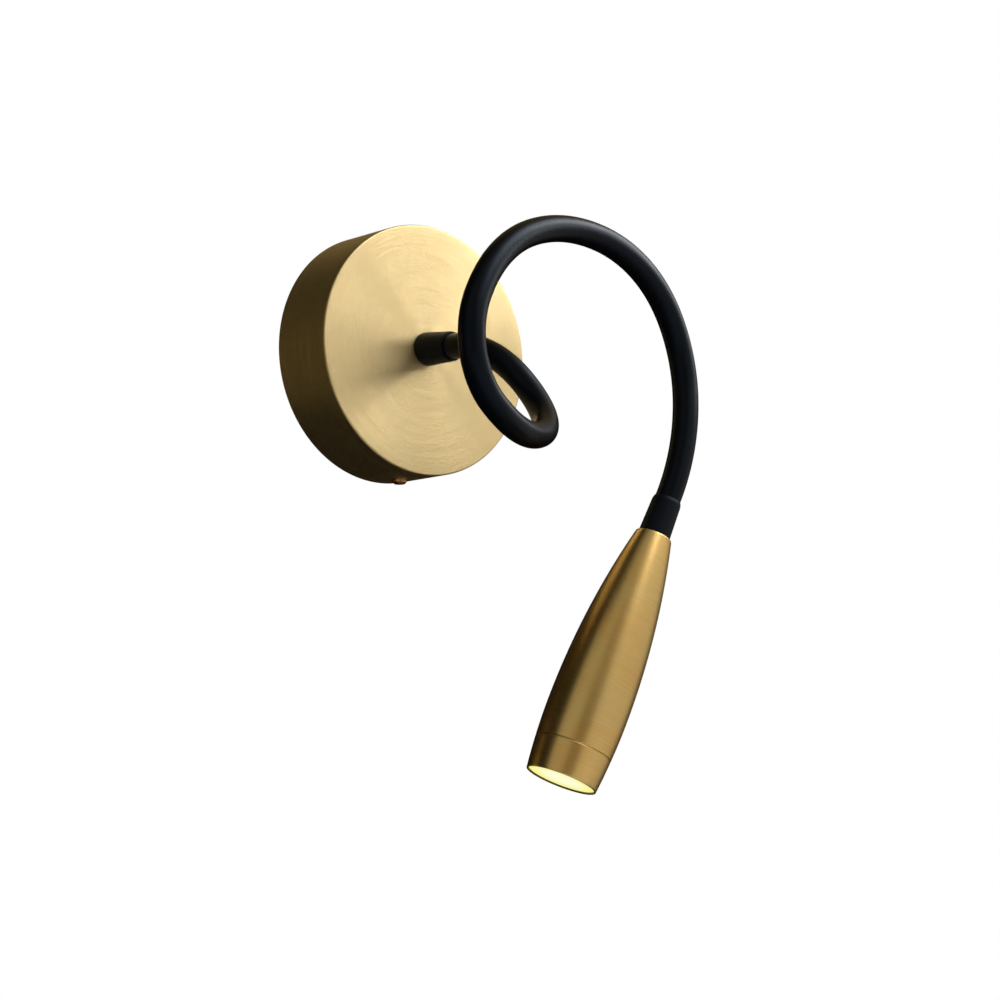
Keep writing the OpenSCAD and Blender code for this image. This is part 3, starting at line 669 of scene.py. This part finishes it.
def glowing(name, place, reach, middle, rim, strength):
    """A frosted lens that is lit from behind: near white in the middle and deeper yellow towards
    the rim, by the distance from the axis."""
    finish = Finish(name)
    spot = finish.place(place)
    x, y, _ = finish.split(spot)
    radius = finish.math("SQRT", x * x + y * y) / reach
    frost = finish.noise(spot, scale=2600.0)
    towards = (radius + (frost - 0.5) * 0.05).between(0.35, 1.0)
    light = finish.mix(towards, middle, rim)
    return finish.set(Base_Color=(0.04, 0.04, 0.03), Roughness=(frost - 0.5) * 0.2 + 0.5,
                      Specular_IOR_Level=0.15, Emission_Color=light, Emission_Strength=strength,
                      Normal=finish.bump(frost, 0.00002))


def dress(names, material):
    """Gives CAD nodes a material in place of their own."""
    for name in names:
        mesh = frame["nodes"][name].data
        mesh.materials.clear()
        mesh.materials.append(material)


def finish_piece(piece, material, body, slot, *stands_for):
    """Gives a piece its material and body, and hides the CAD nodes that it stands for. Its slot is not used.
    """
    piece.data.materials.append(material)
    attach(piece, body)
    if stands_for:
        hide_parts(*stands_for)


# The canopy's own frame: its z comes out of the wall.
WALL_FRAME = np.array([[1, 0, 0, 0], [0, 0, -1, 0], [0, 1, 0, 0], [0, 0, 0, 1]], float)


# Pieces

class LAMP_OT_canopy(bpy.types.Operator):
    """The brushed brass cup of the canopy"""
    bl_idname = "lamp.canopy"
    bl_label = "Canopy"

    def execute(self, context):
        size, colours = context.scene.lamp_canopy, context.scene.lamp_colours
        hole = size.nipple + 0.1 * MM
        inside, floor = size.radius - size.wall, size.depth - size.wall
        outline = rounded([
            (hole, size.depth, FINE),
            (size.radius, size.depth, size.edge),
            (size.radius, 0, 0.25 * MM),
            (inside, 0, 0.25 * MM),
            (inside, floor, 0.3 * MM),
            (hole, floor, FINE),
        ], steps=9)
        outline = filled_in(outline, 2.5 * MM)
        cup = revolve("canopy_cup", outline, WALL_FRAME, sides=288)
        brass = turned_metal("canopy_brass", colours.canopy_brass, WALL_FRAME, roughness=0.42,
                             bump=0.00008, grain=0.00004)
        finish_piece(cup, brass, "canopy", "brushed_brass", "canopy_shell")
        return {"FINISHED"}


def filled_in(outline, step):
    """The same closed outline with more points on its long straight runs."""
    parts = []
    for start, end in zip(outline, np.roll(outline, -1, 0)):
        count = max(1, int(round(np.linalg.norm(end - start) / step, 3)))
        parts.append(start + (end - start) * np.arange(count)[:, None] / count)
    return np.concatenate(parts)


class LAMP_OT_inside(bpy.types.Operator):
    """What sits inside the canopy: strap, screws, block, driver, leads and hose fitting"""
    bl_idname = "lamp.inside"
    bl_label = "Inside the canopy"

    def execute(self, context):
        colours, size = context.scene.lamp_colours, context.scene.lamp_canopy
        hose = context.scene.lamp_hose
        dress(["wall_bracket"], plated("zinc_plate", colours.zinc, 0.38))
        dress(["earth_washer", "lock_washer", "terminal_screw"],
              plated("bright_steel", colours.steel, 0.28, flake=900.0, tint=0.12))
        dress(["canopy_screws", "earth_screw"],
              plated("copper_brass", colours.copper, 0.26, flake=700.0, tint=0.12))
        dress(["terminal_block"], moulded("block_plastic", colours.white, 0.36))
        dress(["driver"], moulded("driver_plastic", colours.white, 0.42, grain=1100.0))
        dress(["driver_tape"], moulded("foam_tape", (0.62, 0.62, 0.60), 0.8, grain=700.0,
                                       bump=0.00008))
        dress(["driver_leads"], moulded("lead_insulation", colours.insulation, 0.35))
        dress(["hose_nipple", "nipple_nut"],
              turned_metal("bare_brass", colours.bare_brass, WALL_FRAME, roughness=0.22))
        turn_start = size.depth - size.wall - size.nipple_reach - size.cable_run
        cable_start = size.depth + size.cable_out
        straight = joined((0, -cable_start, 0),
                          np.array([[1, 0, 0], [0, 0, 1], [0, -1, 0]], float))
        down = line(straight, np.linspace(0, cable_start - turn_start, 30))
        quarter = size.bend * math.pi / 2
        bent = arc(last_of(down), math.pi / 2, math.pi, quarter, np.linspace(0, quarter, 25)[1:])
        run = size.driver_side + size.driver_entry - size.bend
        into = line(last_of(bent), np.linspace(0, run, 10)[1:])
        points, turns = (np.concatenate(part) for part in zip(down, bent, into))
        steps = np.linalg.norm(np.diff(points, axis=0), axis=1)
        distance = np.concatenate([[0], np.cumsum(steps)])
        tail = tube("cable_to_driver", points, turns, distance, hose.cable, sides=32)
        finish_piece(tail, moulded("cable_jacket", colours.white, 0.40), "canopy", "cable")
        return {"FINISHED"}


class LAMP_OT_rubber(bpy.types.Operator):
    """The rubber boot at the canopy and the collar at the head"""
    bl_idname = "lamp.rubber"
    bl_label = "Boot and collar"

    def execute(self, context):
        scene = context.scene
        size, hose, canopy = scene.lamp_rubber, scene.lamp_hose, scene.lamp_canopy
        frames, head = flex_frames(scene)
        rubber = matt_black("boot_rubber", scene.lamp_colours.rubber, 0.50)
        bore = hose.radius + SEAT
        tip = size.boot_length
        outline = filled_in(rounded([
            (size.socket, 0, FINE),
            (size.boot_root, 0, 1.0 * MM),
            (size.boot_tip, tip, 0.5 * MM),
            (bore, tip, FINE),
            (bore, size.socket_end + size.socket_slope, FINE),
            (size.socket, size.socket_end, FINE),
        ], steps=8), 1 * MM)
        boot = self.boot(outline, frames[0], hose, canopy, tip)
        finish_piece(boot, rubber, "canopy", "rubber", "boot")
        start = -size.collar_length
        outline = filled_in(rounded([
            (bore, start, FINE),
            (bore + size.lip, start, FINE),
            (size.collar_tip, start + size.shoulder, 0.5 * MM),
            (size.collar_root, -SEAT, 0.15 * MM),
            (bore + size.collar_room, -SEAT, FINE),
            (bore + size.collar_room, -size.collar_socket, FINE),
            (bore, -size.collar_socket - 0.1 * MM, FINE),
        ], steps=8), 1 * MM)
        collar = revolve("head_collar", outline, head, sides=128)
        finish_piece(collar, rubber, "head", "rubber", "collar")
        return {"FINISHED"}

    def boot(self, outline, first, hose, canopy, tip):
        """A sleeve whose foot lies flat on the canopy's face and whose tip is square to the
        drooping hose. A point at height h lies at h plus the foot's own height there, which fades
        out towards the tip: z = h + (1 - h / tip) * foot(radius, angle)."""
        angle = np.linspace(0, 2 * np.pi, 128, endpoint=False)
        radius, height = outline[:, :1], outline[:, 1:]
        across, along = first[:3, 0], first[:3, 2]
        pivot = first[:3, 3] - (hose.lead - hose.pivot) * along
        face = -canopy.depth - SEAT
        foot = (face - pivot[1] - radius * np.cos(angle) * across[1]) / along[1]
        foot_middle = (face - pivot[1]) / along[1]
        z = height + foot_middle + (1 - height / tip) * (foot - foot_middle)
        return skin("hose_boot", rings(radius, z, angle, joined(pivot, first[:3, :3])),
                    close_rows=True)


class LAMP_OT_hose(bpy.types.Operator):
    """The silicone sleeve, the wound steel core and the cable, in a piece for each flex point"""
    bl_idname = "lamp.hose"
    bl_label = "Hose"

    def execute(self, context):
        scene = context.scene
        size, colours = scene.lamp_hose, scene.lamp_colours
        frames, _ = flex_frames(scene)
        silicone = matt_black("silicone_black", colours.silicone, 0.36, use_uv=True)
        wire = wound_steel("spring_wire", colours.steel)
        jacket = moulded("hose_cable_jacket", colours.white, 0.40)
        # Layer, slot, material, rows of points, and the tube's own shape.
        layers = (
            ("sleeve", "silicone", silicone, 58, {"radius": size.radius, "bore": size.bore}),
            ("core", "steel", wire, 140, {"radius": size.core, "bore": size.core_bore,
                                          "sides": 28, "ripple": size.groove,
                                          "pitch": size.pitch}),
            ("cable", "cable", jacket, 50, {"radius": size.cable, "sides": 24}),
        )
        last = len(size.bend)
        half = size.link / 2
        bodies = ["canopy"] + ["link_%d" % k for k in range(1, last + 1)] + ["head"]
        for k in range(last + 1):
            start = -(size.lead - size.pivot + size.hose_end) if k == 0 else -half
            ends = ["root" if k == 0 else str(k), "tip" if k == last else str(k + 1)]
            zone = size.flex if 0 < k < last else size.end_flex
            zone_ends, _, _ = along_hose(size, frames, k, -zone / 2, zone / 2, 2)
            for layer, slot, material, rows, shape in layers:
                into = size.cable_into if layer == "cable" else size.hose_into
                end = size.tail + into if k == last else half
                points, turns, distance = along_hose(size, frames, k, start, end, rows)
                piece = tube("%s_run_%d" % (layer, k), points, turns, distance, **shape)
                piece.data.materials.append(material)
                self.flex(piece, bodies[k:k + 2], zone_ends)
                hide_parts(*[layer + "_" + part for part in ends])
        return {"FINISHED"}

    def flex(self, piece, bodies, points):
        """Bends the piece between two points of the hose, and nowhere beyond them."""
        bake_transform(piece, bodies[0], bodies[1], start=tuple(points[0]), end=tuple(points[1]))
        weight = np.zeros(len(piece.data.vertices), np.float32)
        piece.data.attributes["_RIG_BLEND"].data.foreach_get("value", weight)
        if weight.min() > 0 or weight.max() < 1:
            raise RuntimeError(piece.name + " doesn't reach both of its bodies")


def head_radius(size, z):
    """The long arc from the neck to the widest place, and the short one on to the mouth."""
    def bulge(span, narrow, away):
        """An arc that falls from the largest radius to a narrow one over a span."""
        drop = size.radius - narrow
        arc_radius = (span ** 2 + drop ** 2) / (2 * drop)
        return size.radius - arc_radius + np.sqrt(arc_radius ** 2 - away ** 2)

    rear = bulge(size.widest, size.neck, np.maximum(size.widest - z, 0))
    front = bulge(size.length - size.widest, size.mouth, np.maximum(z - size.widest, 0))
    return np.where(z < size.widest, rear, front)


def profile(size, low, high, count, inset=0.0):
    """Radii and heights on the head's outer curve, drawn in by inset."""
    z = np.linspace(low, high, count)
    return np.stack([head_radius(size, z) - inset, z], -1)


class LAMP_OT_head(bpy.types.Operator):
    """The turned brass shell of the head and its bezel"""
    bl_idname = "lamp.head"
    bl_label = "Head"

    def execute(self, context):
        scene = context.scene
        size, colours = scene.lamp_head, scene.lamp_colours
        _, head = flex_frames(scene)
        brass = turned_metal("head_brass", colours.head_brass, head, roughness=0.30,
                             tint=0.30, patina=0.7)
        # The bezel's brass carries painted shade on the inner lip of its mouth
        brass_with_painted_lip_shade = turned_metal("bezel_brass", colours.head_brass, head, roughness=0.30,
                                 tint=0.30, patina=0.7, painted_shade_radius=size.mouth - 0.1 * MM)
        seam = size.length - size.bezel
        thread = float(head_radius(size, seam)) - size.wall
        thread_start = seam - size.spigot
        end = thread_start - size.thread_end
        shell = np.concatenate([
            rounded_end(size.neck_bore, 0, size.neck, size.neck_edge, True),
            profile(size, size.neck_edge + 0.1 * MM, seam - size.seam_edge, 90),
            rounded_end(thread + size.wall, seam, thread, size.seam_edge, False),
            [[thread, end]],
            profile(size, end, size.neck_solid, 50, size.wall),
            [[size.neck_bore, size.neck_solid]],
        ])
        finish_piece(revolve("head_body", shell, head), brass, "head", "brushed_brass",
                     "head_shell")
        lens_seat = size.mouth - size.rim
        bore = thread - size.thread_wall
        ledge = size.length - size.recess - size.lens - size.gasket
        foot = seam + size.seam_gap
        spigot = thread - SEAT
        front = float(head_radius(size, foot))
        chamfer_end = foot + size.chamfer_down
        rim = rounded([
            (size.mouth, size.length, 0.16 * MM),
            (lens_seat, size.length, 0.2 * MM),
            (lens_seat, ledge, 0),
            (bore, ledge, 0),
            (bore, thread_start, 0),
            (spigot, thread_start, 0),
            (spigot, foot, 0),
            (front - size.chamfer_in, foot, 0.04 * MM),
            (float(head_radius(size, chamfer_end)), chamfer_end, FINE),
        ])
        curve = profile(size, chamfer_end + 0.06 * MM, size.length - 0.17 * MM, 30)
        finish_piece(revolve("head_bezel", np.concatenate([rim, curve]), head), brass_with_painted_lip_shade, "head",
                     "brushed_brass", "bezel")
        return {"FINISHED"}


def rounded_end(inner, height, outer, ease, first):
    """The end ring of a shell between an inner and an outer radius, with its outer corner
    eased."""
    across, corner = np.array([outer - ease, height]), np.array([outer, height])
    down = np.array([outer, height + (ease if first else -ease)])
    curve = eased(across, corner, down, 6)
    last = [[inner, height]]
    return np.concatenate([last, curve] if first else [curve[::-1], last])


class LAMP_OT_light(bpy.types.Operator):
    """The lens that glows, and the light engine behind it"""
    bl_idname = "lamp.light"
    bl_label = "Light engine"

    def execute(self, context):
        scene = context.scene
        size, colours = scene.lamp_head, scene.lamp_colours
        _, head = flex_frames(scene)
        radius = size.mouth - size.rim - SEAT
        dress(["lens"], glowing("lit_lens", head, radius, colours.glow_middle,
                                colours.glow_rim, 1.0))
        dress(["led_chip"], glowing("phosphor", head, size.chip, (1.0, 0.9, 0.5),
                                    (1.0, 0.8, 0.2), 1.0))
        dress(["heat_sink"], turned_metal("sink_aluminium", colours.aluminium, head))
        dress(["reflector"], turned_metal("reflector_aluminium", colours.aluminium, head,
                                          roughness=0.12, streak=0.04))
        dress(["head_nipple"], turned_metal("head_nipple_brass", colours.bare_brass, head,
                                            roughness=0.22))
        dress(["board_screws"], plated("screw_steel", colours.steel, 0.28, flake=900.0, tint=0.12))
        dress(["led_board"], moulded("board_mask", colours.white, 0.30))
        dress(["head_leads"], moulded("head_lead_insulation", colours.insulation, 0.35))
        dress(["lens_gasket"], matt_black("gasket_rubber", colours.rubber, 0.55))
        return {"FINISHED"}


def outwards(a, h):
    """Point = (sin a cos h, -cos a cos h, sin h), at an azimuth a, from straight in front of the
    wall to the right, and a height h."""
    return np.stack([np.sin(a) * np.cos(h), -np.cos(a) * np.cos(h), np.sin(h) + 0 * a], -1)


class LAMP_OT_stage(bpy.types.Operator):
    """Floor, world, soft lights and the camera at the photograph's angle"""
    bl_idname = "lamp.stage"
    bl_label = "Studio"

    def execute(self, context):
        studio = context.scene.lamp_studio
        self.camera(context, studio)
        self.world(context, studio)
        self.floor(studio)
        for name, (_, _, _, nearness) in FLAGS.items():
            self.flag("flag_" + name, getattr(studio, name + "_span"), getattr(studio, name),
                      studio.flag_reach * nearness)
        for name in LIGHTS:
            self.light(name + "_light", *(getattr(studio, name + part)
                                          for part in ("_place", "_face", "_power", "_away")))
        context.scene.view_settings.view_transform = "Standard"
        return {"FINISHED"}

    def camera(self, context, studio):
        """The camera stands back along its own axis from the canopy's centre, then moves right and
        up in its own plane, which keeps the picture's perspective."""
        back = Vector(outwards(studio.azimuth, studio.elevation))
        right = (-back).cross(Vector((0, 0, 1))).normalized()
        up = right.cross(-back)
        data = bpy.data.cameras.new("camera")
        data.lens, data.sensor_width = studio.focal, 36.0
        data.clip_start, data.clip_end = 0.05, 50.0
        camera = added("camera", data)
        turn = Matrix((right, up, back)).transposed().to_4x4()
        place = (back * studio.distance + right * studio.shift_right
                 + up * studio.shift_up)
        camera.matrix_world = Matrix.Translation(place) @ turn
        context.scene.camera = camera

    def world(self, context, studio):
        """White for the camera, for gloss and through glass, and softer for the light that falls
        on the lamp."""
        world = context.scene.world = bpy.data.worlds.new("studio")
        world.use_nodes = True
        world.node_tree.nodes.clear()
        nodes = Nodes(world.node_tree)
        camera, gloss, through = (nodes.node("ShaderNodeLightPath", output="Is %s Ray" % ray)
                                  for ray in ("Camera", "Glossy", "Transmission"))
        seen = nodes.math("MAXIMUM", nodes.math("MAXIMUM", camera, gloss), through)
        soft, white = (nodes.node("ShaderNodeBackground",
                                  {"Color": (1.0, 1.0, 1.0), "Strength": strength})
                       for strength in (studio.sky, 1.0))
        mixed = nodes.node("ShaderNodeMixShader", {0: seen, 1: soft, 2: white})
        nodes.feed(nodes.tree.nodes.new("ShaderNodeOutputWorld").inputs["Surface"], mixed)

    def floor(self, studio):
        """A round pale floor that fades out towards its edge."""
        reach = studio.floor_reach
        mesh = bpy.data.meshes.new("floor")
        corners = np.array([[-1, -1], [1, -1], [1, 1], [-1, 1]]) * reach
        heights = np.full((4, 1), -studio.floor_drop)
        mesh.from_pydata(np.hstack([corners - [0, reach], heights]).tolist(), [], [(0, 1, 2, 3)])
        floor = added("floor", mesh)
        finish = Finish("floor_white")
        x, y, _ = finish.split(finish.place())
        radius = finish.math("SQRT", x * x + (y + reach) * (y + reach))
        faint = finish.noise(finish.place(), scale=3.0)
        mesh.materials.append(finish.set(
            Base_Color=finish.scaled((0.9, 0.9, 0.9), (faint - 0.5) * 0.02 + 1.0), Roughness=0.9,
            Specular_IOR_Level=0.1, Alpha=1.0 - radius.between(reach * 0.45, reach * 0.98)))

    def flag(self, name, span, shade, reach):
        """A patch of a sphere round the lamp, which only its gloss sees."""
        across, up = 40, 24
        a = np.radians(np.linspace(span[0], span[1], across))[:, None]
        h = np.radians(np.linspace(span[2], span[3], up))[None, :]
        grid = reach * outwards(a, h)
        here = np.arange(across - 1)[:, None] * up + np.arange(up - 1)[None, :]
        faces = np.stack([here, here + up, here + up + 1, here + 1], -1).reshape(-1, 4)
        mesh = bpy.data.meshes.new(name)
        mesh.from_pydata(grid.reshape(-1, 3).tolist(), [], faces.tolist())
        flag = added(name, mesh)
        mesh.materials.append(Finish(name).set(
            Base_Color=(0.0, 0.0, 0.0), Roughness=1.0, Specular_IOR_Level=0.0,
            Emission_Color=shade, Emission_Strength=1.0))
        flag.visible_camera = flag.visible_diffuse = flag.visible_shadow = False
        flag.visible_transmission = flag.visible_volume_scatter = False

    def light(self, name, where, face_size, watts, away):
        """A soft light that hangs at an azimuth and a height round the lamp and faces it."""
        way = Vector(outwards(*np.radians(where)))
        data = bpy.data.lights.new(name, "AREA")
        data.shape, data.energy = "RECTANGLE", watts
        data.size, data.size_y = face_size
        light = added(name, data)
        light.matrix_world = (Matrix.Translation(way * away)
                              @ way.to_track_quat("Z", "Y").to_matrix().to_4x4())
        light.visible_camera = False


GROUPS = {
    "lamp_canopy": CanopySizes,
    "lamp_hose": HoseSizes,
    "lamp_rubber": RubberSizes,
    "lamp_head": HeadSizes,
    "lamp_colours": Colours,
    "lamp_studio": StudioSettings,
}
STEPS = (LAMP_OT_canopy, LAMP_OT_inside, LAMP_OT_rubber, LAMP_OT_hose, LAMP_OT_head,
         LAMP_OT_light, LAMP_OT_stage)


class LAMP_PT_panel(bpy.types.Panel):
    """Lists the pieces of the lamp and their sizes"""
    bl_idname = "LAMP_PT_panel"
    bl_label = "Wall lamp"
    bl_space_type = "VIEW_3D"
    bl_region_type = "UI"
    bl_category = "Wall lamp"

    def draw(self, context):
        for step in STEPS:
            self.layout.operator(step.bl_idname)
        for group, kind in GROUPS.items():
            box = self.layout.box()
            for prop in kind.__annotations__:
                box.prop(getattr(context.scene, group), prop)


def register():
    for kind in (*GROUPS.values(), *STEPS, LAMP_PT_panel):
        bpy.utils.register_class(kind)
    for name, kind in GROUPS.items():
        setattr(bpy.types.Scene, name, PointerProperty(type=kind))


def unregister():
    for name in GROUPS:
        delattr(bpy.types.Scene, name)
    for kind in (LAMP_PT_panel, *reversed(STEPS), *reversed(tuple(GROUPS.values()))):
        bpy.utils.unregister_class(kind)


def main():
    register()
    for step in STEPS:
        family, name = step.bl_idname.split(".")
        getattr(getattr(bpy.ops, family), name)()


if __name__ == "__main__":
    main()
